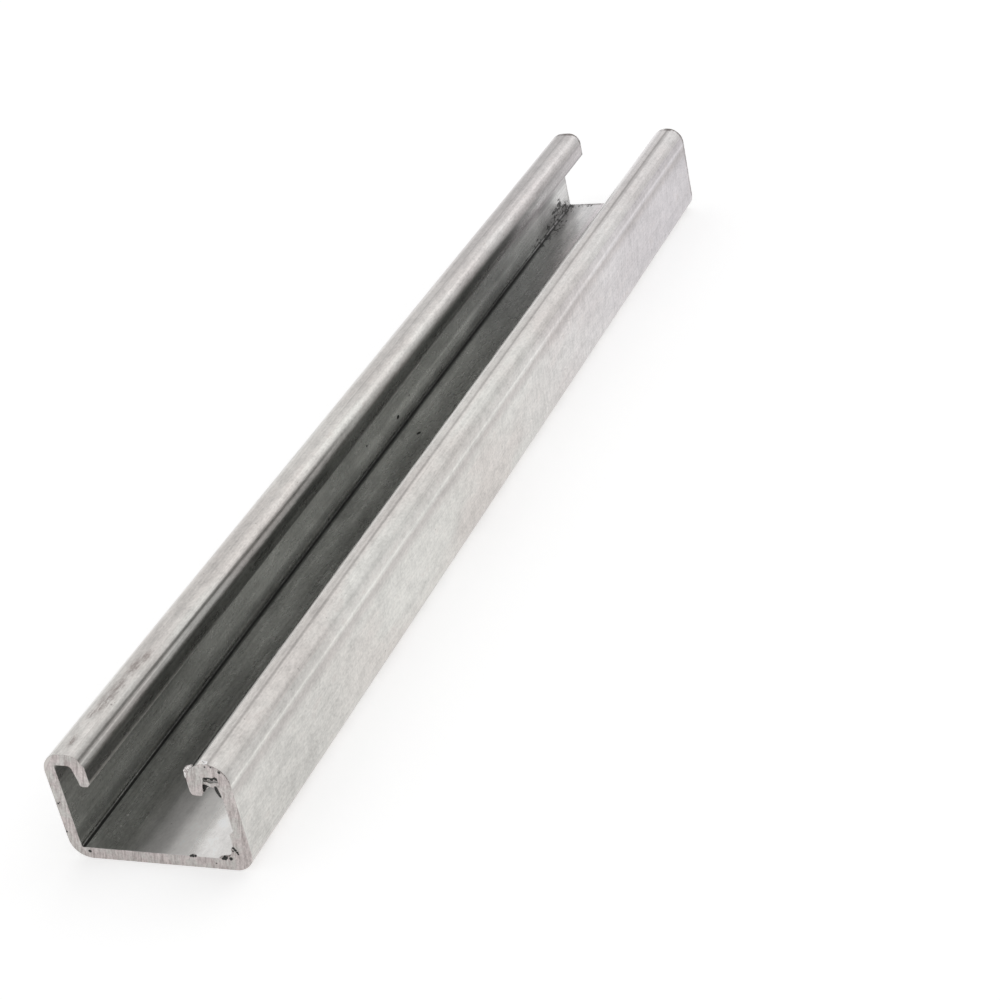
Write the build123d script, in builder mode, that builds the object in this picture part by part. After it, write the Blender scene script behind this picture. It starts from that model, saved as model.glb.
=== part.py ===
"""A one-foot length of strut channel, the framing channel that pipe and cable supports are bolted to.

A strip of galvanised steel is rolled into an open box. The flat web is the bottom, the two walls stand
on it, and each wall turns in as a flange over the open side and ends in a lip that points back down at
the web. The lips leave a slot between them along the whole length. A channel nut drops through the
slot, turns crossways and pulls up against the two lips.

Sizes are in millimetres. X runs along the channel, Y across it and Z up, out of the slot. The origin
is in the middle of the web's underside. The rolls squeeze the strip into tight inside corners and
leave round outside ones, so each corner has a radius of its own. They turn one lip over more roundly
than the other, so the two lips also have a radius each.
"""

import os

from build123d import *

# The piece and its strip
length = 304.8
width = 41.275
depth = 25.4
gauge = 2.667

# The slot and the lips that edge it. A lip is thickest at its root, inside the bend
slot_width = 22.225
lip_depth = 7.144
lip_root_gauge = 3.2
lip_tip_gauge = 2.35

# Outside radii of the bends: web to wall, wall to flange, and flange to lip on either side
web_corner_radius = 4.5
shoulder_radius = 4.5
round_lip_radius = 4.9
tight_lip_radius = 3.4

# Inside radii of the same bends, and the eased edges of the lip's tip
web_inside_radius = 0.4
shoulder_inside_radius = 0.6
lip_inside_radius = 1.0
lip_tip_radius = 0.5

# Where the faces of one half of the section lie, measured out from its middle and up from the web
wall_outside = width / 2
wall_inside = wall_outside - gauge
lip_face = slot_width / 2
flange_underside = depth - gauge
lip_tip = depth - lip_depth

# A lip bend takes no more of the flange than the shoulder leaves, less a hair of flat between them
flange_flat = 0.1
lip_bend_room = wall_outside - lip_face - shoulder_radius - flange_flat


def half_section(side, lip_bend_radius):
    """Draw half of the section: out along the web, up the wall, over, round the lip and back inside.

    side is 1 for the half on +Y and -1 for the half on -Y.
    """
    corners = [
        (0, 0),
        (wall_outside, 0),
        (wall_outside, depth),
        (lip_face, depth),
        (lip_face, lip_tip),
        (lip_face + lip_tip_gauge, lip_tip),
        (lip_face + lip_root_gauge, flange_underside),
        (wall_inside, flange_underside),
        (wall_inside, gauge),
        (0, gauge),
    ]
    radii = [
        web_corner_radius,
        shoulder_radius,
        min(lip_bend_radius, lip_bend_room),
        lip_tip_radius,
        lip_tip_radius,
        lip_inside_radius,
        shoulder_inside_radius,
        web_inside_radius,
    ]
    FilletPolyline(*[(side * across, up) for across, up in corners], radius=radii)


with BuildPart() as channel:
    with BuildSketch(Plane.YZ) as section:
        with BuildLine():
            half_section(1, tight_lip_radius)
            half_section(-1, round_lip_radius)
        make_face()
    extrude(amount=length / 2, both=True)

channel.part.label = "channel"

os.makedirs("parts", exist_ok=True)
export_step(channel.part, "parts/channel.step")
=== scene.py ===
import math
import random

import bpy
from mathutils import Matrix, Vector


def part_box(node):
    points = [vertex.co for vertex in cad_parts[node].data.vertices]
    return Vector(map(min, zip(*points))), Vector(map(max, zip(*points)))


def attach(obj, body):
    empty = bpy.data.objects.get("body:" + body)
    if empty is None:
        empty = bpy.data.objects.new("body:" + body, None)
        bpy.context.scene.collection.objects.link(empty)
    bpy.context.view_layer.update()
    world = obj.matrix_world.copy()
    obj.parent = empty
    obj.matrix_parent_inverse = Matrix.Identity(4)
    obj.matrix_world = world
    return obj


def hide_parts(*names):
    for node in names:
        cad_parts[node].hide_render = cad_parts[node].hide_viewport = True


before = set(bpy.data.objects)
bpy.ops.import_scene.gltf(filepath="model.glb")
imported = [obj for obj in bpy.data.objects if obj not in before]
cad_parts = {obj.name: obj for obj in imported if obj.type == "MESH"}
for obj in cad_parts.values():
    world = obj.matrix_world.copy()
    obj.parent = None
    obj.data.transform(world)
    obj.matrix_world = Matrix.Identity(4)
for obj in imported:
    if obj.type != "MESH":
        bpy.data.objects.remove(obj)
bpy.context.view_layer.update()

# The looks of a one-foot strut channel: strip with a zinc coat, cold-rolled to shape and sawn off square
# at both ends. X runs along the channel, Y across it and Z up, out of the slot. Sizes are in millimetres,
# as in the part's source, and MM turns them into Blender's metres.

MM = 0.001

# The section, as the part's source has it
gauge = 2.667
slot_width = 22.225
lip_depth = 7.144
lip_root_gauge = 3.2
lip_tip_gauge = 2.35
web_corner_radius = 4.5
shoulder_radius = 4.5
round_lip_radius = 4.9
tight_lip_radius = 3.4
web_inside_radius = 0.4
shoulder_inside_radius = 0.6
lip_inside_radius = 1.0
lip_tip_radius = 0.5

# Length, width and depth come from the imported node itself
node_low, node_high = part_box("channel")
length = (node_high.x - node_low.x) / MM
width = (node_high.y - node_low.y) / MM
depth = (node_high.z - node_low.z) / MM

# The crease that the rolls left along the tighter lip. Its bottom lies crease_turn degrees round the bend
# from the flange, and slips further round between two places along X. Its upper flank is the steeper one.
# It starts to fade at crease_fade and is gone at crease_end, just past the middle of the length.
crease_turn = 57.0
crease_slip = 9.0
crease_slip_start = -140.0
crease_slip_end = -45.0
crease_upper = 17.0
crease_lower = 27.0
crease_depth = 0.26
crease_fade = -70.0
crease_end = 10.0
waviness = 0.05

# How finely the section is drawn
station_step = 1.7
bend_step = 0.3
lip_step = 0.12
flat_step = 1.2
edge_break = 0.12
edge_angle = 60.0

# Faces that the finishes look for
wall_outside = width / 2
wall_inside = wall_outside - gauge
lip_face = slot_width / 2
near_end = -length / 2
far_end = length / 2


class Wire:
    """One output in a node tree. Arithmetic on it adds Math nodes, and node() adds any other node."""

    def __init__(self, tree, socket=None):
        self.tree = tree
        self.socket = socket

    def node(self, kind, settings=None, inputs=None, out=0):
        """Add a node: its settings first, then the numbers or wires of its sockets. out names an output."""
        made = self.tree.nodes.new(kind)
        for name, value in (settings or {}).items():
            if name == "choices":
                while len(made.index_switch_items) < value:
                    made.index_switch_items.new()
            else:
                setattr(made, name, value)
        for name, value in (inputs or {}).items():
            if isinstance(value, Wire):
                self.tree.links.new(value.socket, made.inputs[name])
            else:
                made.inputs[name].default_value = value
        return Wire(self.tree, made.outputs[out] if len(made.outputs) else None)

    def maths(self, operation, *values):
        return self.node("ShaderNodeMath", {"operation": operation}, dict(enumerate(values)))

    def __add__(self, other):
        return self.maths("ADD", self, other)

    def __sub__(self, other):
        return self.maths("SUBTRACT", self, other)

    def __rsub__(self, other):
        return self.maths("SUBTRACT", other, self)

    def __mul__(self, other):
        return self.maths("MULTIPLY", self, other)

    def __truediv__(self, other):
        return self.maths("DIVIDE", self, other)

    def __pow__(self, other):
        return self.maths("POWER", self, other)

    def __neg__(self):
        return self.maths("MULTIPLY", self, -1)

    def __abs__(self):
        return self.maths("ABSOLUTE", self)

    __radd__ = __add__
    __rmul__ = __mul__

    def least(self, other):
        return self.maths("MINIMUM", self, other)

    def most(self, other):
        return self.maths("MAXIMUM", self, other)

    def rise(self, start, end):
        """0 before start, 1 after end, and smooth between them."""
        return self.node(
            "ShaderNodeMapRange",
            {"interpolation_type": "SMOOTHSTEP"},
            {"Value": self, "From Min": start, "From Max": end},
        )

    def fall(self, start, end):
        """1 before start, 0 after end, and smooth between them."""
        return 1 - self.rise(start, end)

    def span(self, start, full, waning, end):
        """0 before start, 1 from full to waning, and 0 again after end."""
        return self.rise(start, full) * self.fall(waning, end)

    def hump(self, centre, half):
        """1 at centre, falling smoothly to 0 at half on either side."""
        return abs(self - centre).fall(0, half)

    def band(self, centre, half, soft):
        """1 within half of centre, fading to 0 over soft on either side."""
        return abs(self - centre).fall(half, half + soft)

    def parts(self):
        """The three components of a vector."""
        node = self.node("ShaderNodeSeparateXYZ", None, {0: self}).socket.node
        return [Wire(self.tree, socket) for socket in node.outputs]

    def vector(self, x, y, z):
        """A vector of three numbers or wires."""
        return self.node("ShaderNodeCombineXYZ", None, {0: x, 1: y, 2: z})

    def scaled(self, x, y, z):
        """This vector times a number on each axis."""
        return self.node("ShaderNodeVectorMath", {"operation": "MULTIPLY"}, {0: self, 1: (x, y, z)})

    def noise(self, scale, detail=4.0, rough=0.5):
        """Noise from 0 to 1 on this vector. scale is a number for each axis, or one for all."""
        stretch = scale if isinstance(scale, tuple) else (scale,) * 3
        inputs = {"Vector": self.scaled(*stretch), "Scale": 1.0, "Detail": detail, "Roughness": rough}
        return self.node("ShaderNodeTexNoise", None, inputs)

    def sway(self, scale, detail=4.0, rough=0.5):
        """Noise about 0, mostly from -0.2 to 0.2."""
        return self.noise(scale, detail, rough) - 0.5

    def scratches(self, other, run, climb, scale, seed, detail=3, rough=0.6):
        """Noise drawn out into scratches that run over this coordinate and climb over the other one."""
        along = (self * run + other * climb) * scale[0]
        over = (other * run - self * climb) * scale[1]
        return self.vector(along, over, seed).noise(1.0, detail, rough)

    def flecks(self, scale, radius, share):
        """Small round flecks, at a share of the places of a jittered grid."""
        settings = {"feature": "F1", "distance": "EUCLIDEAN"}
        node = self.node("ShaderNodeTexVoronoi", settings, {"Vector": self, "Scale": scale}).socket.node
        distance = Wire(self.tree, node.outputs["Distance"])
        lottery = Wire(self.tree, node.outputs["Color"]).parts()[0]
        return distance.fall(radius * 0.5, radius) * lottery.rise(1 - share, 1 - share + 0.02)

    def spot(self, places, ragged, soft=0.2, squeeze=1.0):
        """1 inside any of the given places, each (x, y, z, radius). The rim is ragged, and a squeeze below
        1 draws the marks out along X."""
        here = self.scaled(squeeze, 1, 1)
        covered = None
        for x, y, z, radius in places:
            ends = {0: here, 1: (x * squeeze, y, z)}
            away = self.node("ShaderNodeVectorMath", {"operation": "DISTANCE"}, ends, "Value")
            mark = (away + ragged * radius).fall(radius * (1 - soft), radius * 1.15)
            covered = mark if covered is None else covered.most(mark)
        return covered

    def tint(self, first, second):
        """Mix two colours, with this wire as the share of the second."""
        ends = {6: first, 7: second}
        ends = {n: c if isinstance(c, Wire) else (*c, 1.0) for n, c in ends.items()}
        return self.node("ShaderNodeMix", {"data_type": "RGBA"}, {"Factor": self, **ends}, 2)

    def shade(self, amount):
        """This colour times a number."""
        return self.node("ShaderNodeVectorMath", {"operation": "SCALE"}, {0: self, "Scale": amount})

    def show(self, kind="ShaderNodeOutputMaterial"):
        """Make this shader the tree's result."""
        self.node(kind, None, {"Surface": self})


def new_finish(name):
    """A material with an empty tree, and the first wire of the tree."""
    finish = bpy.data.materials.new(name)
    finish.use_nodes = True
    finish.node_tree.nodes.clear()
    return finish, Wire(finish.node_tree)


def millimetres(tree):
    """Object coordinates in millimetres."""
    return tree.node("ShaderNodeTexCoord", out="Object").scaled(1 / MM, 1 / MM, 1 / MM)


def show_metal(tree, tone, metal, rough, relief):
    """Finish a material as metal, with its relief, in millimetres, as bump."""
    normal = tree.node("ShaderNodeBump", None, {"Strength": 1.0, "Distance": MM, "Height": relief})
    inputs = {"Base Color": tone, "Metallic": metal, "Roughness": rough, "Normal": normal}
    tree.node("ShaderNodeBsdfPrincipled", None, inputs).show()


# Finishes

coat_warm = (0.690, 0.655, 0.628)
coat_cool = (0.660, 0.652, 0.625)
coat_dull = (0.500, 0.460, 0.440)
coat_pink = (0.600, 0.545, 0.530)
coat_lilac = (0.672, 0.640, 0.665)
coat_bright = (0.930, 0.910, 0.890)
patina_tone = (0.430, 0.433, 0.414)
patina_light = (0.600, 0.602, 0.580)
burnished = (0.990, 0.970, 0.950)
dot_tone = (0.8, 0.8, 0.78)
# The white of the painted glints
painted_glint_tone = (0.98, 0.97, 0.96)
dirt_tone = (0.15, 0.125, 0.115)
smear_tone = (0.300, 0.245, 0.230)
black_tone = (0.012, 0.012, 0.010)
bare_pink = (0.690, 0.630, 0.615)
bare_grey = (0.600, 0.585, 0.560)
bare_score = (0.360, 0.310, 0.300)

# Marks on the rolled faces, each (x, y, z, radius). Pits and flange dirt are drawn out along X.
pits = [(16.0, 17.9, 5.8, 0.50), (13.3, 11.8, 2.7, 0.48), (-3.1, 17.9, 8.3, 0.28), (24.5, 17.9, 7.4, 0.25)]
web_dots = [(-141.8, 13.2, 2.7, 0.3), (-145.3, 12.9, 2.7, 0.2)]
# Painted glints: white spots with dark specks where a burr on the rounder flange's near edge catches the
# light
painted_glints = [(-151.8, -16.1, 25.3, 0.55), (-151.2, -15.2, 25.3, 0.35), (-151.9, -18.4, 25.0, 0.25)]
far_smudges = [
    (124.0, 18.0, 3.2, 2.2),
    (131.5, 18.0, 2.4, 3.0),
    (138.5, 18.0, 4.0, 3.6),
    (143.0, 17.8, 6.0, 2.6),
    (147.5, 18.0, 3.0, 3.0),
    (150.0, 17.5, 2.7, 1.8),
    (150.8, 14.2, 2.7, 0.9),
    (151.4, 11.5, 2.7, 1.2),
    (135.0, 16.4, 2.7, 1.6),
    (128.0, 17.2, 2.7, 1.2),
]
flange_dirt = [
    (-119.0, 14.4, 25.4, 1.2),
    (-122.5, 15.0, 25.4, 1.7),
    (-129.5, 15.2, 25.4, 1.7),
    (-134.5, 15.2, 25.4, 1.7),
    (-138.6, 16.1, 25.4, 0.9),
    (-147.9, 15.5, 25.4, 0.9),
]
flange_scratch = [
    (-131.6, 12.7, 25.4, 0.30),
    (-132.3, 12.6, 25.4, 0.30),
    (-133.0, 12.6, 25.4, 0.32),
    (-133.8, 12.8, 25.4, 0.32),
    (-134.6, 13.1, 25.4, 0.32),
    (-135.4, 13.4, 25.4, 0.30),
]

# Marks on the near sawn face, each (y, z, radius): dark flecks, partly dirt and burn and partly painted
# shadow under the burrs and the torn flange, and the painted shadows in the slit and behind the wedge of the
# tear
cut_flecks = [
    (-7.2, 2.80, 0.40),
    (-6.7, 2.70, 0.26),
    (-7.75, 2.75, 0.28),
    (-12.05, 1.35, 0.16),
    (-14.3, 2.80, 0.46),
    (-13.8, 2.6, 0.26),
    (-14.8, 2.95, 0.26),
    (-15.65, 2.80, 0.42),
    (-16.1, 5.15, 0.26),
    (-16.45, 5.65, 0.32),
    (-16.9, 5.45, 0.34),
    (-17.2, 5.0, 0.34),
    (-16.6, 4.75, 0.24),
    (-17.45, 4.45, 0.30),
    (-17.6, 4.05, 0.22),
    (-18.9, 23.75, 0.32),
    (-20.1, 23.2, 0.24),
    (-17.4, 24.8, 0.18),
    (-16.1, 24.8, 0.20),
    (16.4, 1.75, 0.40),
    (20.0, 13.3, 0.24),
    (20.3, 6.3, 0.24),
    (19.6, 13.6, 0.14),
    # Dirt and painted shadow under the torn flange
    (-15.15, 21.65, 0.42),
    (-15.80, 21.85, 0.36),
    (-16.40, 21.60, 0.42),
    (-17.00, 21.85, 0.36),
    (-17.50, 21.60, 0.40),
]
# Painted shadow in the slit behind the sliver
slit = [
    (-17.05, 19.85, 0.42),
    (-17.12, 19.45, 0.42),
    (-17.20, 19.05, 0.42),
    (-17.28, 18.65, 0.40),
    (-17.38, 18.25, 0.36),
    (-17.50, 17.90, 0.30),
]
# Painted shadow behind the wedge of the tear
wedge = [(-14.05, 18.75, 0.34), (-14.25, 19.25, 0.42), (-14.50, 19.75, 0.50), (-15.05, 19.95, 0.34)]


class RolledFace:
    """A place on the rolled steel, in millimetres, with what it lies on, from 0 to 1, and its noises."""

    def __init__(self, tree):
        self.at = millimetres(tree)
        self.x, self.y, self.z = self.at.parts()
        self.across = abs(self.y)
        self.lay_noises()
        self.find_outside()
        self.find_inside()

    def lay_noises(self):
        """The grain and mottling of the coat, and the lines and scratches in it."""
        at, x, z = self.at, self.x, self.z
        around = self.y + z
        self.grain = at.sway((1.2, 2.0, 2.0), 3, 0.6)
        self.mottle = at.sway((0.20, 0.40, 0.40), 5, 0.62)
        self.patches = at.sway((0.022, 0.08, 0.08), 3)
        self.draw_lines = at.sway((0.010, 1.5, 1.5), 5, 0.7)
        self.hair_lines = at.sway((0.030, 6.5, 6.5), 3, 0.6)
        rubs = x.scratches(around, 0.82, 0.57, (0.05, 2.6), 0)
        scrapes = x.scratches(around, 0.94, -0.34, (0.04, 2.2), 7)
        self.rub = rubs.rise(0.60, 0.74) - scrapes.rise(0.62, 0.74)
        self.strokes = x.vector(x * 0.9 - z * 0.2, 0, z * 0.16).noise(1.0, 3, 0.6) - 0.5
        self.ragged = at.noise(1.1, 4, 0.7) * 1.6 - 0.8

    def find_outside(self):
        """The outer faces, and the crest, the seams and the tighter bend that the rolls left there."""
        x, y, z = self.x, self.y, self.z
        self.on_wall = self.across.rise(wall_outside - 0.5, wall_outside - 0.3)
        self.on_top = z.rise(depth - 0.4, depth - 0.2)
        self.on_base = z.fall(0.05, 0.3)
        self.under_crest = z.span(16.4, 19.2, 19.4, 20.4) * self.on_wall
        self.crest = z.hump(20.62, 0.34) * self.on_wall
        tight_seam = y.hump(15.0, 0.35) * (0.25 + x.rise(-40, 0) * 0.35)
        self.seam = tight_seam.most(y.hump(-16.7, 0.55)) * self.on_top
        dull_lines = self.draw_lines.rise(0.08, 0.25)
        self.dull = self.mottle.rise(0.06, 0.22) * 0.4 + self.seam * 0.3 + dull_lines * 0.3
        over_bend = z - depth + tight_lip_radius
        turned = z.maths("ARCTAN2", lip_face + tight_lip_radius - y, over_bend)
        self.turned = turned * (180 / math.pi)
        outer_side = self.across.rise(lip_face - 0.1, lip_face) * y.rise(10, 11)
        self.on_tight_bend = outer_side * over_bend.rise(-0.3, 0.1)

    def find_inside(self):
        """The pocket behind the lips, its faces, the worn lip tips, and the web's clean near end."""
        x, y, z, across = self.x, self.y, self.z, self.across
        side = y.rise(-1, 1)
        pocket = across.fall(wall_inside + 0.1, wall_inside + 0.4) * z.rise(gauge - 0.4, gauge - 0.1)
        pocket = pocket * z.fall(24.75 - side * 3.15, 25.40 - side * 2.5)
        self.pocket = pocket * (1 - z.rise(22.9, 23.1) * across.rise(14.8, 15.6))
        self.on_web = z.fall(gauge + 0.1, gauge + 0.5)
        self.on_inner_wall = across.rise(wall_inside - 0.6, wall_inside - 0.3)
        self.inner_wall = self.on_inner_wall * self.pocket
        self.worn = z.fall(18.95, 19.4) * across.fall(14.3, 14.7) * z.rise(17, 18)
        self.clean = x.fall(-138, -88) * y.fall(-2, 11) * z.fall(16, 18) * self.pocket
        share = self.pocket * (1 - x.rise(118, 152) * (0.35 + self.on_web * 0.3))
        share = share * (1 - self.worn * (0.6 - x.rise(80, 130) * 0.3))
        self.patina_share = share * (1 - z.rise(22, 23.5) * 0.3)


def outside_tone(f):
    """The zinc coat: bright and mottled, with the marks of the rolls along it, painted shade and highlights
    at the crest and the bends, and torn at the far rim.
    """
    x, y, z, on_wall, on_top = f.x, f.y, f.z, f.on_wall, f.on_top
    above_crest = z.span(20.9, 21.4, 22.0, 23.2) * y.fall(-19, -18)
    painted_crown_highlight = y.hump(-15.4, 1.3) * on_top
    painted_lip_highlight = (y + x.rise(-60, 10) * 0.55).hump(12.8, 0.85) * z.rise(23.4, 23.9) * x.rise(-115, -65)
    base_lines = f.across.band(15.4, 0.9, 1.4).most(y.hump(-0.4, 0.5)).most(y.hump(2.9, 0.6)) * f.on_base
    painted_crease_shade = f.turned.span(43, 50, 77, 86) * f.on_tight_bend * x.fall(-70, 10)
    far_end_shade = x.rise(40, 150) * (on_wall * 0.14 + on_top * y.rise(14.0, 14.8) * 0.16)
    # Painted shade under the wall's crest and a painted highlight along it, painted highlights on the rounder
    # flange's crown and along the tighter lip, and painted shade in the tighter bend's crease and towards the
    # far end. The seams and the lines on the base are marks in the coat.
    marks = 1 - f.under_crest * 0.16 + f.crest * 0.14 - f.seam * 0.22 - base_lines * 0.32 - above_crest * 0.08
    marks = marks + painted_crown_highlight * (0.10 + x.fall(-150, -100) * 0.16) + painted_lip_highlight * 0.22
    marks = marks * (1 - far_end_shade) * (1 - painted_crease_shade * 0.28)

    lengthwise = (f.draw_lines * 0.50 + f.hair_lines * 0.25) * (1 - on_wall * 0.25)
    level = 1 + f.grain * 0.55 + f.mottle * 0.65 + f.patches * 0.45 + lengthwise
    level = level + (f.rub * 0.10 + f.strokes * 0.45 * on_wall) * (0.4 + x.rise(-80, 60) * 0.6)

    cool = (f.patches.rise(-0.12, 0.12) * (1 - on_top * 0.5)).most(on_wall * x.fall(-120, -70) * 0.85)
    tone = cool.tint(coat_warm, coat_cool)
    tone = (x.rise(-30, 140) * (on_wall * 0.5 + 0.4)).tint(tone, coat_lilac)
    tone = (f.under_crest * 0.45).most(above_crest * 0.15).tint(tone, coat_pink)
    tone = f.dull.least(1).tint(tone, coat_dull).shade(level * marks)
    rim = (x + on_top * 0.7).rise(far_end - 1.3, far_end - 0.5) * f.at.noise(0.8, 4, 0.7).rise(0.42, 0.52)
    return (rim * 0.85).tint(tone, dirt_tone)


def inside_tone(f):
    """The patina, darker towards the near end, with painted shade into the corners of the web and a painted
    band of light along the walls.
    """
    x, z = f.x, f.z
    corner = (wall_inside - f.across) + (z - gauge)
    corner_shade = corner.fall(0.3, 2.2) * f.pocket
    wall_light = z.band(8.8, 1.4, 2.6) * f.on_inner_wall * (1 - x.fall(-110, -60) * 0.6)
    cloud = f.at.sway((0.05, 0.20, 0.20), 5, 0.6)
    pale = cloud.rise(-0.02, 0.2) * 0.4 + f.hair_lines.rise(0.0, 0.22) * 0.35
    streaks = f.draw_lines * (0.8 + f.on_inner_wall * x.rise(-20, 60) * 0.5)
    # corner_shade is painted shade in the corners, and wall_light a painted band of light below the lips'
    # shade
    level = 1 + cloud * 0.6 + f.grain * 0.9 + streaks + wall_light * 0.28 - corner_shade * 0.40 + f.rub * 0.10
    level = level * (1 - x.fall(-110, -45) * 0.22) * (1 - x.rise(40, 100) * 0.10)
    level = level * (1 - f.on_web * (0.13 - x.fall(-110, -60) * 0.18))
    lip_level = x.hump(-88, 26) * 0.13 - x.fall(-120, -100) * 0.07 - x.fall(-148, -132) * 0.28
    level = level * (1 + z.rise(18.7, 19.5) * lip_level + z.rise(23, 24) * 0.6)
    # More painted shade in the low corners along the middle
    level = level * (1 - x.span(0, 25, 90, 115) * corner.fall(3, 7) * 0.16)
    return pale.tint(patina_tone, patina_light).shade(level)


def clean_tone(f):
    """The burnished coat where the patina is off, with a dull stripe near the middle of the web."""
    blotches = f.at.sway((0.22, 0.30, 0.30), 4, 0.6)
    level = (1 + f.grain * 0.2 + blotches * 0.45) * (1 - f.y.band(1.2, 0.6, 3.2) * 0.34)
    return f.mottle.rise(-0.1, 0.1).tint(burnished, coat_bright).shade(level)


def painted_lip_light(f):
    """Painted light and shade on both lips' bends and the flange tops: how much lighter they are here and
    there, or darker below 0.
    """
    x, y, z, turned = f.x, f.y, f.z, f.turned
    round_turn = y.span(-14.8, -14.2, -13.6, -13.2) * z.rise(24.0, 24.4)
    round_edge = y.span(-13.5, -13.2, -12.6, -12.2) * z.rise(23.5, 24.0) * x.fall(20, 60)
    round_flange = y.band(-17.1, 0.35, 0.45) * f.on_top * x.rise(60, 110)
    # Painted shade in the crease of the tighter bend, and painted highlights along its edges
    crease_band_shade = turned.span(27, 38, 46, 53) * x.fall(-145, -100)
    crease_edge = turned.hump(64, 5).most(turned.hump(81.5, 5)) * x.fall(-125, -95)
    crease_middle = turned.band(57, 3, 4) * x.band(-65, 12, 12)
    far_bend = turned.rise(62, 74) * x.rise(95, 130)
    tight_bend = crease_edge * 0.36 + crease_middle * 0.28 - crease_band_shade * 0.34 - far_bend * 0.22
    tight_flange = y.span(13.2, 13.9, 16.3, 16.9) * z.rise(24.7, 25.0) * x.fall(-40, 0)
    near_shoulder = y.rise(17.1, 17.6) * f.on_top * x.fall(-118, -100)
    painted_light_and_shade = round_edge * 0.40 - round_turn * (x.fall(-150, -80) * 0.25 + x.fall(75, 105) * 0.20)
    painted_light_and_shade = painted_light_and_shade - round_flange * 0.22 + f.on_tight_bend * tight_bend
    return painted_light_and_shade + tight_flange * (0.10 + x.fall(-146, -132) * 0.13) - near_shoulder * 0.16


def painted_wall_light(f):
    """Painted light and shade on the inner wall: lighter at its foot, and lighter and darker bands higher up.
    """
    x, z = f.x, f.z
    # The foot is painted lighter where the wall mirrors the dark corner line
    foot = x.fall(110, 138) * 0.95 + x.fall(-128, -112) * z.fall(3.4, 3.7) * 1.6
    light = foot * z.span(2.7, 2.9, 3.6, 4.5)
    light = light + z.band(6.9, 0.9, 0.9) * x.span(0, 25, 68, 85) * 0.26
    light = light + z.band(13.0, 0.9, 0.8) * x.rise(124, 132) * 0.30
    dull = z.span(3.8, 5.0, 11.3, 12.4) * x.band(134, 4, 6) * 0.32
    dull = dull + z.band(5.0, 0.5, 0.9) * x.fall(-25, 15) * 0.22
    dull = dull + z.band(9.8, 1.6, 1.0) * x.span(-10, 15, 90, 108) * 0.24
    dull = dull + z.band(11.0, 0.5, 0.8) * x.rise(95, 108) * 0.22
    high = x.rise(-70, -55) * 0.08 + x.rise(20, 40) * 0.22
    dull = dull + z.band(13.6, 1.0, 1.2) * high * x.fall(90, 118)
    return f.inner_wall * (light - dull)


def painted_face_shade(f):
    """Painted shade on the lips' faces and tips, and darker across the pocket near the middle."""
    x, z, across = f.x, f.z, f.across
    dull = z.band(20.9, 0.4, 0.9) * (x.span(10, 40, 88, 102) * 0.42 + x.band(-55, 16, 8) * 0.36)
    dull = dull + z.band(18.8, 0.4, 0.7) * x.span(-112, -98, 60, 90) * 0.28
    middle_darkening = x.band(-20, 5, 8) * across.rise(11.5, 13) * z.fall(16, 17.5)
    middle_darkening = middle_darkening * z.rise(5.5, 7).most(f.on_web)
    tip = f.worn * (x.rise(90, 104) * 0.30 + x.band(-55, 28, 12) * 0.22)
    return f.pocket * (middle_darkening * -0.22 - dull * across.fall(12, 13)) - tip


def painted_web_light(f):
    """Painted light on the web: lighter along the middle and beside the lip, where the lip's shade falls, and
    across the far end, and a little darker near the far corner.
    """
    x, y = f.x, f.y
    beside_lip = y.fall(7.2, 9.8) * x.fall(122, 136) * 0.30
    beside_lip = beside_lip + y.fall(8, 12.5) * x.span(-5, 30, 118, 132) * 0.30
    light = beside_lip * y.rise(5, 7)
    light = light + y.span(5, 8, 11, 14) * x.span(5, 35, 100, 122) * 0.17
    light = light + y.span(5, 8, 10, 13) * x.fall(-144, -108) * 0.34
    light = light - y.rise(12, 14) * x.rise(138, 146) * 0.26
    light = light + x.rise(118, 130) * (y - x * 0.33).fall(-36, -33.5) * y.rise(5.6, 7) * 0.32
    return f.on_web * f.pocket * light


def warmed(f, tone):
    """The patina thins towards the far end, and what shows there is warmer."""
    cold = (f.pocket * f.x.rise(50, 100)).tint(tone, tone.scaled(1.0, 1.0, 1.02))
    warm = f.pocket * f.x.rise(104, 124) * f.z.rise(9.5, 13).most(f.on_web * f.y.fall(7, 10))
    return warm.tint(cold, cold.scaled(1.035, 0.990, 1.010))


def corner_shade_and_soot(f):
    """How black: dirt and painted shade along the corner of web and wall, painted shade beside it on the web,
    the pits, and the far end's smudges.
    """
    corner_line = ((f.across - 17.5) ** 2 + (f.z - 2.7) ** 2) ** 0.5
    shade_beside_corner = f.on_web * f.across.rise(16.2, 17.1) * f.x.span(-140, -100, 108, 130) * 0.70
    # The corner line is dirt and painted shade, the band beside it painted shade; the pits and smudges are
    # dirt
    line = corner_line.fall(0.24, 0.50).most(shade_beside_corner) * f.pocket * (1 - f.x.rise(110, 150) * 0.5)
    pit = f.at.spot(pits, f.ragged * 0.4, squeeze=0.6)
    cloudy = f.at.noise((0.55, 1.3, 1.3), 3, 0.6).rise(0.48, 0.57)
    smudge = f.at.spot(far_smudges, f.ragged) * cloudy * f.pocket
    return line.most(pit).most(smudge * 0.85)


def grime(f):
    """How brown: the thin smears on the tighter flange near the end."""
    smear = f.at.noise((0.30, 1.5, 1.5), 5, 0.7).rise(0.34, 0.60) * 0.7
    smear = smear + f.at.noise(2.4, 3, 0.6).rise(0.42, 0.60) * 0.3
    ragged = f.at.sway((0.5, 1.2, 1.2), 4, 0.65) * 1.2
    return f.at.spot(flange_dirt, ragged, soft=0.75, squeeze=0.35) * smear


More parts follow.
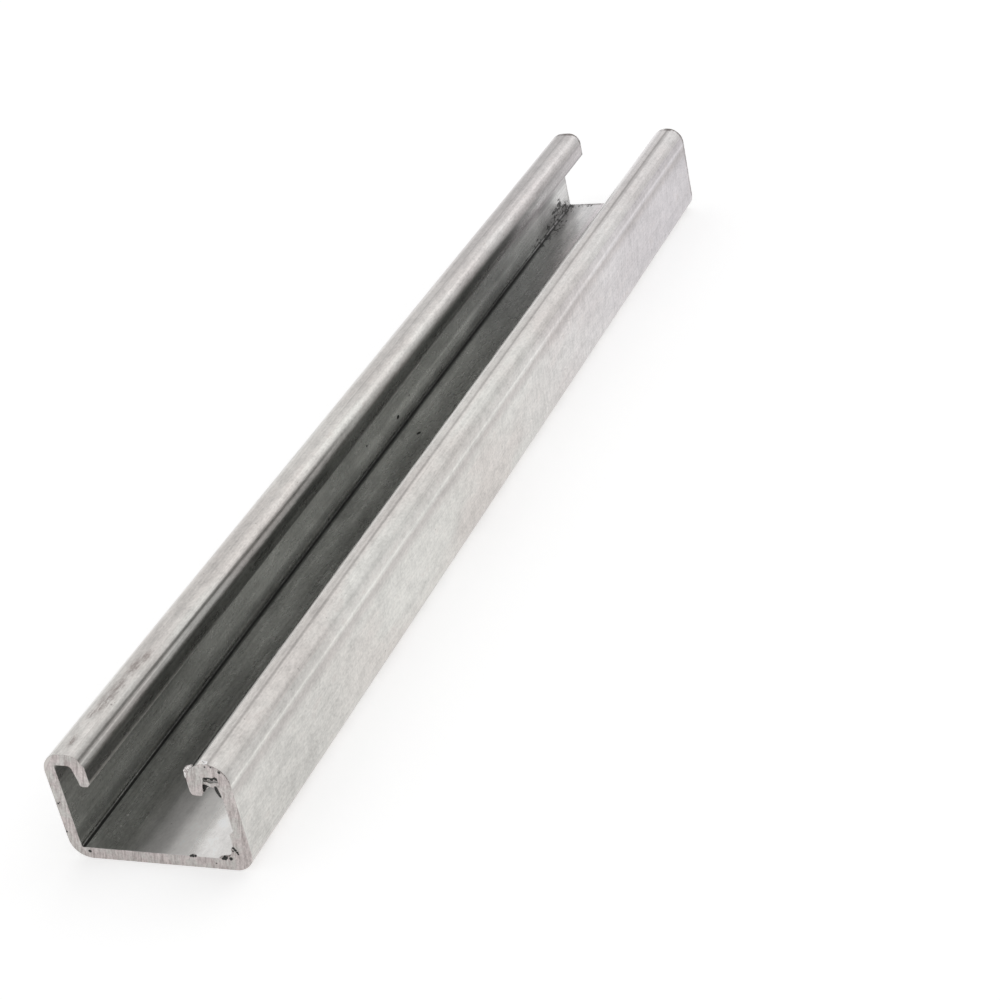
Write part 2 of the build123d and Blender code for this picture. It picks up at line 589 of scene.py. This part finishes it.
def thin_dirt(f):
    """How dirty: a scratch in the flange, a smudge along the base, and nicks in the inner wall."""
    scratch = f.at.spot(flange_scratch, f.ragged * 0.4)
    broken = f.at.noise((0.45, 1.4, 1.4), 5, 0.75).rise(0.52, 0.66)
    base_smudge = f.y.hump(2.9, 2.2) * f.on_base * broken * 0.6
    nicks = f.x.scratches(f.z, 0.5, 0.87, (0.22, 2.6), 3, 2, 0.5).rise(0.66, 0.72)
    nicks = nicks * f.at.sway((0.06, 0.1, 0.1), 2).rise(0.02, 0.10) * f.inner_wall
    return (scratch * 0.55).most(base_smudge).most(nicks * 0.5)


def zinc_coat():
    """The rolled faces: bright and mottled outside, dull and dark inside where the section shades itself."""
    finish, tree = new_finish("zinc_coat")
    f = RolledFace(tree)
    tone = f.patina_share.tint(outside_tone(f), inside_tone(f))
    tone = f.clean.tint(tone, clean_tone(f))
    # Painted light and shade on the bends, the inner walls, the lips' faces and the web
    tone = tone.shade(1 + painted_lip_light(f) + painted_wall_light(f) + painted_face_shade(f) + painted_web_light(f))
    black, brown = corner_shade_and_soot(f), grime(f)
    specks = f.at.flecks(0.30, 0.07, 0.5).most(f.at.flecks(0.75, 0.10, 0.12))
    tone = (brown * 0.85).tint(warmed(f, tone), smear_tone)
    tone = thin_dirt(f).tint(tone, dirt_tone)
    tone = (specks * 0.45).tint(tone, dirt_tone)
    # The pits and smudges, and the dirt and painted shade along the web's corners
    tone = black.tint(tone, black_tone)
    tone = (f.at.spot(web_dots, f.ragged * 0.3) * 0.7).tint(tone, dot_tone)
    # Painted glints on the burr at the rounder flange's near edge
    painted_sparkle = f.at.noise(3.2, 3, 0.7).rise(0.40, 0.50).tint(bare_score, painted_glint_tone)
    tone = f.at.spot(painted_glints, f.ragged).tint(tone, painted_sparkle)

    round_lip = f.y.span(-15.2, -14.6, -11, -10) * f.z.rise(20, 21)
    tight_lip = f.y.span(10, 11, 13.2, 14.4) * f.z.rise(20.5, 21.5)
    rough = 0.33 + f.mottle * 0.15 + brown * 0.2 + black * 0.3 + f.dull * 0.08 - f.patina_share * 0.05
    rough = rough + f.clean * (f.y.rise(-9, -4) * 0.28 + f.y.rise(-4, 3) * 0.16 - 0.20)
    rough = rough - round_lip * 0.12 + tight_lip * 0.12
    metal = 1 - (black * 0.7).most(brown * 0.3)
    relief = (f.grain * 0.008 + f.mottle * 0.060 + f.draw_lines * 0.030) * (1 - f.clean * 0.9)
    relief = relief - f.under_crest * 0.09 + f.crest * 0.02 - f.seam * 0.03
    show_metal(tree, tone, metal, rough, relief)
    return finish


def on_cut(flat, places, ragged):
    """Marks on the near sawn face, each (y, z, radius)."""
    return flat.spot([(near_end, y, z, radius) for y, z, radius in places], ragged)


def saw_cut():
    """Bare steel at the ends, with the scores of the saw, which run up and slightly over."""
    finish, tree = new_finish("saw_cut")
    at = millimetres(tree)
    x, y, z = at.parts()
    near = x.fall(0, 1)
    lean = math.radians(14)
    over = y * math.cos(lean) + z * math.sin(lean)
    along = z * math.cos(lean) - y * math.sin(lean)
    scores = tree.vector(x * 0.2, over * 2.4, along * 0.35).noise(1.0, 5, 0.7)
    grit = at.sway(2.2, 3, 0.65)
    blotch = at.sway(0.35, 4, 0.6)
    tone = blotch.rise(-0.08, 0.12).tint(bare_pink, bare_grey)
    tone = (scores.rise(0.42, 0.66) * 0.75).tint(tone, bare_score).shade(1 + grit * 0.7 + blotch * 0.4)

    # Torn steel behind the rounder lip's face, and the coat that was drawn over the other shoulder
    behind_face = x.rise(near_end + 0.3, near_end + 0.4)
    torn = behind_face * y.span(-13.4, -12.8, -10.4, -10) * z.rise(18.5, 19.5) * near
    torn_look = at.noise((1.5, 1.6, 1.2), 4, 0.7).rise(0.42, 0.58).tint(coat_bright, bare_score)
    tone = torn.tint(tone, torn_look)
    coated = (y + (z - 21.5).most(0) * 0.8).rise(20.2, 20.6) * z.rise(18.5, 19.5) * near
    tone = coated.tint(tone, coat_warm)

    # A dark hem round the rounder side's shoulder, where the blade went in
    centre_y = wall_outside - shoulder_radius
    centre_z = depth - shoulder_radius
    reach = ((y + centre_y) ** 2 + (z - centre_z) ** 2) ** 0.5
    hem = reach.rise(shoulder_radius - 0.40, shoulder_radius - 0.15) * y.fall(-17.0, -16.2)
    hem = hem * z.rise(centre_z, centre_z + 0.8) * at.noise(1.4, 3, 0.6).rise(0.36, 0.56)
    tone = (hem * near * 0.7).tint(tone, dirt_tone)

    # Black flecks, and the painted shadows in the slit and behind the wedge
    ragged = at.noise(2.0, 4, 0.7) * 1.6 - 0.8
    flat = tree.vector(near_end, y, z)
    behind = on_cut(flat, wedge, ragged * 0.2) * x.rise(near_end + 0.42, near_end + 0.5)
    gap_shadow = on_cut(flat, slit, ragged * 0.3).most(behind)
    marks = on_cut(flat, cut_flecks, ragged * 0.7).most(gap_shadow) * near
    marks = marks.most(at.flecks(0.8, 0.09, 0.3) * 0.6)
    tone = marks.tint(tone, black_tone)
    show_metal(tree, tone, 0.75 - marks * 0.6, 0.42 + scores * 0.15, scores * 0.05 + grit * 0.03)
    return finish


# The steel

def rule_inputs(rule):
    """Give the rule an input for each size, and return their wires by name."""
    sizes = {
        "Length": length,
        "Width": width,
        "Depth": depth,
        "Gauge": gauge,
        "Slot width": slot_width,
        "Lip depth": lip_depth,
        "Lip root gauge": lip_root_gauge,
        "Lip tip gauge": lip_tip_gauge,
        "Web corner radius": web_corner_radius,
        "Shoulder radius": shoulder_radius,
        "Round lip radius": round_lip_radius,
        "Tight lip radius": tight_lip_radius,
        "Web inside radius": web_inside_radius,
        "Shoulder inside radius": shoulder_inside_radius,
        "Lip inside radius": lip_inside_radius,
        "Lip tip radius": lip_tip_radius,
        "Crease slip start": crease_slip_start,
        "Crease slip end": crease_slip_end,
        "Crease depth": crease_depth,
        "Crease fade": crease_fade,
        "Crease end": crease_end,
        "Waviness": waviness,
        "Station step": station_step,
        "Bend step": bend_step,
        "Lip step": lip_step,
        "Flat step": flat_step,
    }
    for name, size in sizes.items():
        socket = rule.interface.new_socket(name, in_out="INPUT", socket_type="NodeSocketFloat")
        socket.default_value = size * MM
    rule.interface.new_socket("Geometry", in_out="OUTPUT", socket_type="NodeSocketGeometry")
    entry = rule.nodes.new("NodeGroupInput")
    return {socket.name: Wire(rule, socket) for socket in entry.outputs if socket.name}


def rounded_section(tree, of):
    """The section as one closed curve. Half its corners are listed, from the web's corner up the wall,
    over, round the lip and back inside, each with its radius and the step along its bend."""
    wall_out = of["Width"] / 2
    wall_in = wall_out - of["Gauge"]
    face = of["Slot width"] / 2
    under = of["Depth"] - of["Gauge"]
    tip = of["Depth"] - of["Lip depth"]
    half = 8
    point = tree.node("GeometryNodeInputIndex")
    after = {"data_type": "INT", "operation": "GREATER_THAN"}
    other_half = tree.node("FunctionNodeCompare", after, {2: point, 3: half - 1})
    lip_radius = of["Tight lip radius"] + other_half * (of["Round lip radius"] - of["Tight lip radius"])
    bend, fine = of["Bend step"], of["Lip step"]
    corners = [
        (wall_out, of["Width"] * 0, of["Web corner radius"], bend),
        (wall_out, of["Depth"], of["Shoulder radius"], bend),
        (face, of["Depth"], lip_radius, fine),
        (face, tip, of["Lip tip radius"], fine),
        (face + of["Lip tip gauge"], tip, of["Lip tip radius"], fine),
        (face + of["Lip root gauge"], under, of["Lip inside radius"], bend),
        (wall_in, under, of["Shoulder inside radius"], bend),
        (wall_in, of["Gauge"], of["Web inside radius"], bend),
    ]
    corner = (half - 0.5) - abs(point - (half - 0.5))

    def at_corner(values):
        inputs = {0: corner, **{i + 1: value for i, value in enumerate(values)}}
        return tree.node("GeometryNodeIndexSwitch", {"data_type": "FLOAT", "choices": half}, inputs)

    across, up, radius, step = [at_corner(values) for values in zip(*corners)]
    ring = tree.node("GeometryNodeCurvePrimitiveCircle", None, {"Resolution": 2 * half})
    place = tree.vector((1 - other_half * 2) * across, up, 0)
    section = tree.node("GeometryNodeSetPosition", None, {"Geometry": ring, "Position": place})
    rounded = {"Curve": section, "Radius": radius, "Limit Radius": True}
    rounded["Count"] = (radius * (math.pi / 2) / step + 1).most(4)
    return tree.node("GeometryNodeFilletCurve", {"mode": "POLY"}, rounded)


def with_flat_points(tree, of, section):
    """Give straight runs points of their own, so that a flat face can wave."""
    point = tree.node("GeometryNodeInputIndex")
    here = tree.node("GeometryNodeInputPosition")
    onward = {"Point Index": point, "Offset": 1}
    onward = tree.node("GeometryNodeOffsetPointInCurve", None, onward, "Point Index")
    there = {"Value": here, "Index": onward}
    there = tree.node("GeometryNodeFieldAtIndex", {"data_type": "FLOAT_VECTOR"}, there)
    run = tree.node("ShaderNodeVectorMath", {"operation": "DISTANCE"}, {0: here, 1: there}, "Value")
    return tree.node("GeometryNodeSubdivideCurve", None, {"Curve": section, "Cuts": run / of["Flat step"]})


def rolled_out(tree, of, section):
    """Run the section along the length, and turn the result so that it lies along X with its slot up."""
    end = of["Length"] / 2
    line = {"Start": tree.vector(0, 0, -end), "End": tree.vector(0, 0, end)}
    line = tree.node("GeometryNodeCurvePrimitiveLine", None, line)
    line = {"Curve": line, "Count": of["Length"] / of["Station step"]}
    line = tree.node("GeometryNodeResampleCurve", None, line)
    steel = {"Curve": line, "Profile Curve": section, "Fill Caps": True}
    steel = tree.node("GeometryNodeCurveToMesh", None, steel)
    a, b, c = tree.node("GeometryNodeInputPosition").parts()
    return tree.node("GeometryNodeSetPosition", None, {"Geometry": steel, "Position": tree.vector(c, a, b)})


def with_roll_marks(tree, of, steel):
    """Wave the walls' outer faces and the flange tops, and press in the crease. Every mark goes into the
    steel, and none stands proud of it."""
    here = tree.node("GeometryNodeInputPosition")
    x, y, z = here.parts()
    on_wall = abs(y).rise((wall_outside - 0.3) * MM, (wall_outside - 0.05) * MM)
    on_top = z.rise((depth - 0.2) * MM, (depth - 0.02) * MM)
    wave = here.noise((28, 60, 60), 2) * of["Waviness"]
    from_y = y - of["Slot width"] / 2 - of["Tight lip radius"]
    from_z = z - of["Depth"] + of["Tight lip radius"]
    reach = (from_y * from_y + from_z * from_z) ** 0.5
    turned = tree.maths("ARCTAN2", -from_y, from_z) * (180 / math.pi)
    on_bend = (reach - of["Tight lip radius"]).rise(-0.5 * MM, -0.2 * MM)
    on_bend = on_bend * y.rise((lip_face - 0.1) * MM, lip_face * MM)
    on_bend = on_bend * from_z.rise(-0.4 * MM, 0.2 * MM) * turned.rise(2, 8)
    centre = crease_turn + x.rise(of["Crease slip start"], of["Crease slip end"]) * crease_slip
    flanks = turned.rise(centre - crease_upper, centre) * turned.fall(centre, centre + crease_lower)
    crease = flanks * on_bend * of["Crease depth"] * x.fall(of["Crease fade"], of["Crease end"])
    y_move = -(from_y / reach) * crease - tree.maths("SIGN", y) * wave * on_wall
    z_move = -(from_z / reach) * crease - wave * on_top
    move = {"Geometry": steel, "Offset": tree.vector(0, y_move, z_move)}
    return tree.node("GeometryNodeSetPosition", None, move)


def rolling_rule(coat, cut):
    """The tree that draws the section from its sizes, rounds its bends and rolls it out along X."""
    rule = bpy.data.node_groups.new("rolled_channel", "GeometryNodeTree")
    of = rule_inputs(rule)
    tree = Wire(rule)
    section = with_flat_points(tree, of, rounded_section(tree, of))
    steel = with_roll_marks(tree, of, rolled_out(tree, of, section))

    # The sawn faces are those that look along X
    facing = abs(tree.node("GeometryNodeInputNormal").parts()[0])
    sawn = tree.node("FunctionNodeCompare", {"operation": "GREATER_THAN"}, {0: facing, 1: 0.9})
    steel = tree.node("GeometryNodeRealizeInstances", None, {"Geometry": steel})
    steel = tree.node("GeometryNodeSetShadeSmooth", None, {"Geometry": steel, "Shade Smooth": True})
    steel = tree.node("GeometryNodeSetMaterial", None, {"Geometry": steel, "Material": coat})
    ends = {"Geometry": steel, "Selection": sawn, "Material": cut}
    steel = tree.node("GeometryNodeSetMaterial", None, ends)
    tree.node("NodeGroupOutput", None, {"Geometry": steel})
    return rule


def roll_channel(coat, cut):
    """Run the rule, break the sawn edges, and take the result as a plain mesh."""
    maker = bpy.data.objects.new("channel_rule", bpy.data.meshes.new("channel_rule"))
    bpy.context.scene.collection.objects.link(maker)
    rolling = maker.modifiers.new("rolling", "NODES")
    rolling.node_group = rolling_rule(coat, cut)
    for item in rolling.node_group.interface.items_tree:
        if item.in_out == "INPUT":
            rolling[item.identifier] = item.default_value
    breaking = maker.modifiers.new("sawn_edges", "BEVEL")
    breaking.width = edge_break * MM
    breaking.segments = 2
    breaking.limit_method = "ANGLE"
    breaking.angle_limit = math.radians(edge_angle)
    breaking.harden_normals = True
    breaking.material = 1
    shown = maker.evaluated_get(bpy.context.evaluated_depsgraph_get())
    mesh = bpy.data.meshes.new_from_object(shown)
    bpy.data.objects.remove(maker)
    mesh.name = "channel_steel"
    steel = bpy.data.objects.new("channel_steel", mesh)
    bpy.context.scene.collection.objects.link(steel)
    return steel


# Burrs that the saw left at the near end: the outline of each in (y, z), how far it stands back from the
# cut, and how thick it is
burrs = {
    "web": (
        [
            (-6.3, 2.45),
            (-6.5, 2.80),
            (-6.9, 2.95),
            (-7.2, 3.12),
            (-7.6, 3.00),
            (-8.0, 2.85),
            (-8.2, 2.45),
        ],
        0.02,
        0.25,
    ),
    "corner": (
        [
            (-18.3, 9.9),
            (-18.0, 9.65),
            (-17.45, 9.15),
            (-17.0, 8.85),
            (-16.95, 8.2),
            (-17.05, 7.4),
            (-16.9, 6.6),
            (-16.95, 6.0),
            (-16.35, 5.2),
            (-16.2, 4.3),
            (-15.8, 3.6),
            (-15.2, 3.15),
            (-14.3, 3.05),
            (-13.7, 2.85),
            (-13.0, 2.75),
            (-13.0, 2.4),
            (-18.2, 2.4),
        ],
        0.02,
        0.45,
    ),
    "flange": (
        [
            (-14.6, 22.9),
            (-14.9, 22.5),
            (-15.5, 22.3),
            (-16.1, 22.35),
            (-16.7, 22.2),
            (-17.2, 22.35),
            (-17.6, 22.6),
            (-17.9, 22.9),
        ],
        0.00,
        0.30,
    ),
    "round_lip_back": (
        [
            (-13.4, 18.0),
            (-13.65, 17.95),
            (-14.0, 18.7),
            (-14.15, 19.6),
            (-14.4, 20.5),
            (-14.7, 21.3),
            (-15.1, 22.2),
            (-15.2, 22.8),
            (-14.2, 22.9),
            (-13.6, 20.6),
        ],
        0.02,
        0.35,
    ),
    "torn_back": (
        [
            (-14.6, 22.9),
            (-14.7, 21.6),
            (-15.3, 21.2),
            (-15.9, 21.4),
            (-16.4, 21.1),
            (-17.1, 21.3),
            (-18.1, 21.1),
            (-18.1, 22.9),
        ],
        0.50,
        0.30,
    ),
    "wedge": (
        [
            (-13.60, 18.10),
            (-14.05, 18.40),
            (-14.70, 19.15),
            (-15.55, 19.85),
            (-15.20, 20.60),
            (-14.30, 20.90),
            (-13.70, 19.60),
        ],
        0.50,
        0.25,
    ),
    "sliver": (
        [
            (-14.7, 21.2),
            (-15.4, 21.1),
            (-16.2, 20.8),
            (-17.0, 21.0),
            (-18.2, 21.1),
            (-18.2, 20.2),
            (-17.2, 20.1),
            (-16.6, 19.9),
            (-16.0, 19.95),
            (-15.3, 20.35),
            (-14.8, 20.8),
        ],
        0.15,
        0.25,
    ),
    "slit": (
        [
            (-16.85, 20.2),
            (-17.25, 20.3),
            (-18.2, 20.3),
            (-18.2, 17.4),
            (-17.65, 17.5),
            (-17.3, 17.7),
            (-17.0, 18.3),
            (-16.75, 19.3),
        ],
        0.10,
        0.30,
    ),
    "round_lip_face": (
        [
            (-11.5, 19.9),
            (-11.1, 20.4),
            (-11.05, 21.1),
            (-10.8, 21.6),
            (-10.75, 22.2),
            (-10.9, 22.8),
            (-10.85, 23.3),
            (-11.3, 23.8),
            (-11.6, 24.25),
            (-12.2, 24.35),
            (-12.9, 24.4),
            (-12.8, 23.4),
            (-12.3, 22.0),
            (-12.0, 20.4),
        ],
        0.40,
        0.90,
    ),
    "round_lip_tip": (
        [
            (-11.35, 18.9),
            (-11.4, 18.1),
            (-11.6, 17.9),
            (-12.3, 17.82),
            (-13.1, 17.8),
            (-13.6, 17.9),
            (-13.7, 18.6),
            (-13.4, 19.2),
            (-12.4, 19.3),
        ],
        0.00,
        0.40,
    ),
    "tight_lip_tip": (
        [
            (11.35, 18.9),
            (11.5, 18.15),
            (11.8, 17.9),
            (12.4, 17.85),
            (13.0, 17.88),
            (13.45, 18.1),
            (13.6, 18.9),
            (12.4, 19.2),
        ],
        0.00,
        0.40,
    ),
}
burr_seed = 41
burr_step = 0.15
burr_rag = 0.05
burr_gap = 0.01
burr_shrink = 0.12


def ragged_rim(outline, draw):
    """An outline with a point at every burr_step, each moved a little at random. It runs one way round."""
    rim = []
    for (y0, z0), (y1, z1) in zip(outline, outline[1:] + outline[:1]):
        steps = max(1, round(math.hypot(y1 - y0, z1 - z0) / burr_step))
        for i in range(steps):
            t = i / steps
            rag = [draw.uniform(-burr_rag, burr_rag) for _ in range(2)]
            rim.append((y0 + (y1 - y0) * t + rag[0], z0 + (z1 - z0) * t + rag[1]))
    area = sum(a[0] * b[1] - b[0] * a[1] for a, b in zip(rim, rim[1:] + rim[:1]))
    return rim[::-1] if area > 0 else rim


def burr_mesh(cut):
    """All the burrs as one mesh: thin plates with ragged rims, each a little smaller behind."""
    draw = random.Random(burr_seed)
    points, faces = [], []
    for outline, back, thick in burrs.values():
        rim = ragged_rim(outline, draw)
        mid_y, mid_z = [sum(p[k] for p in rim) / len(rim) for k in (0, 1)]
        first, count = len(points), len(rim)
        front, rear = near_end + back + burr_gap, near_end + back + thick
        points += [(front, y, z) for y, z in rim]
        points += [(rear, y + (mid_y - y) * burr_shrink, z + (mid_z - z) * burr_shrink) for y, z in rim]
        faces.append(range(first, first + count))
        faces.append(range(first + 2 * count - 1, first + count - 1, -1))
        for i in range(count):
            j = (i + 1) % count
            faces.append((first + j, first + i, first + count + i, first + count + j))
    mesh = bpy.data.meshes.new("saw_burrs")
    mesh.from_pydata([Vector(p) * MM for p in points], [], [list(face) for face in faces])
    mesh.materials.append(cut)
    return mesh


coat, cut = zinc_coat(), saw_cut()
steel = roll_channel(coat, cut)
burr = bpy.data.objects.new("saw_burrs", burr_mesh(cut))
bpy.context.scene.collection.objects.link(burr)
with bpy.context.temp_override(active_object=steel, selected_editable_objects=[steel, burr]):
    bpy.ops.object.join()
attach(steel, "root")
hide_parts("channel")


# The floor, the light and the camera

floor_reach = 4000
paper_white = (0.8, 0.8, 0.8, 1)
paper_glow = 0.47
room_light = 0.76
soft_box_light = 0.54
pale_wall_light = 0.55


def paper_floor():
    """White paper that keeps the shadow. From below it is clear, so that the underside can be seen."""
    finish, tree = new_finish("paper_floor")
    ray = tree.node("ShaderNodeLightPath").socket.node.outputs
    seen = [Wire(tree.tree, ray[name]) for name in ("Is Camera Ray", "Is Glossy Ray", "Is Transmission Ray")]
    seen = seen[0].most(seen[1]).most(seen[2])
    paper = tree.node("ShaderNodeBsdfDiffuse", None, {"Color": paper_white})
    glow = tree.node("ShaderNodeEmission", None, {"Strength": seen * paper_glow})
    sheet = tree.node("ShaderNodeAddShader", None, {0: paper, 1: glow})
    behind = tree.node("ShaderNodeNewGeometry", out="Backfacing")
    clear = tree.node("ShaderNodeBsdfTransparent")
    tree.node("ShaderNodeMixShader", None, {0: behind, 1: sheet, 2: clear}).show()
    return finish


def lay_floor():
    """A square sheet under the channel."""
    mesh = bpy.data.meshes.new("floor")
    rim = [Vector((x, y, 0)) * floor_reach * MM for x, y in ((-1, -1), (1, -1), (1, 1), (-1, 1))]
    mesh.from_pydata(rim, [], [(0, 1, 2, 3)])
    mesh.materials.append(paper_floor())
    floor = bpy.data.objects.new("floor", mesh)
    bpy.context.scene.collection.objects.link(floor)
    return floor


floor = lay_floor()


def compass(heading, elevation):
    """The direction at a heading from +X towards +Y, and an elevation, in degrees."""
    h, e = math.radians(heading), math.radians(elevation)
    return (math.cos(h) * math.cos(e), math.sin(h) * math.cos(e), math.sin(e))


def studio():
    """Soft light from all round, with a large soft box over the far end and a pale wall to its left."""
    world = bpy.data.worlds.new("studio")
    world.use_nodes = True
    world.node_tree.nodes.clear()
    tree = Wire(world.node_tree)
    sky = tree.node("ShaderNodeTexCoord", out="Generated")

    def patch(heading, elevation, inner, outer):
        toward = {0: sky, 1: compass(heading, elevation)}
        toward = tree.node("ShaderNodeVectorMath", {"operation": "DOT_PRODUCT"}, toward, "Value")
        return toward.rise(math.cos(math.radians(outer)), math.cos(math.radians(inner)))

    soft_box = patch(-18, 42, 10, 50) * soft_box_light
    pale_wall = patch(45, -2, 8, 30) * pale_wall_light
    light = room_light + soft_box + pale_wall
    tree.node("ShaderNodeBackground", None, {"Strength": light}).show("ShaderNodeOutputWorld")
    bpy.context.scene.world = world


def aim_camera():
    """Stand the camera beyond the near end, on the rounder side, looking down along the slot."""
    camera_data = bpy.data.cameras.new("camera")
    camera_data.lens = 84.092
    camera_data.sensor_width = 36
    camera_data.clip_start = 10 * MM
    camera_data.clip_end = 50000 * MM
    camera = bpy.data.objects.new("camera", camera_data)
    eye = Vector((-451.76, -236.79, 267.34)) * MM
    forward = Vector((0.78606, 0.3893, -0.48016)).normalized()
    up = Vector((0.51602, 0.01443, 0.85646))
    right = forward.cross(up).normalized()
    turn = Matrix((right, right.cross(forward), -forward)).transposed()
    camera.matrix_world = Matrix.Translation(eye) @ turn.to_4x4()
    bpy.context.scene.collection.objects.link(camera)
    bpy.context.scene.camera = camera


studio()
aim_camera()
bpy.context.scene.view_settings.view_transform = "Standard"
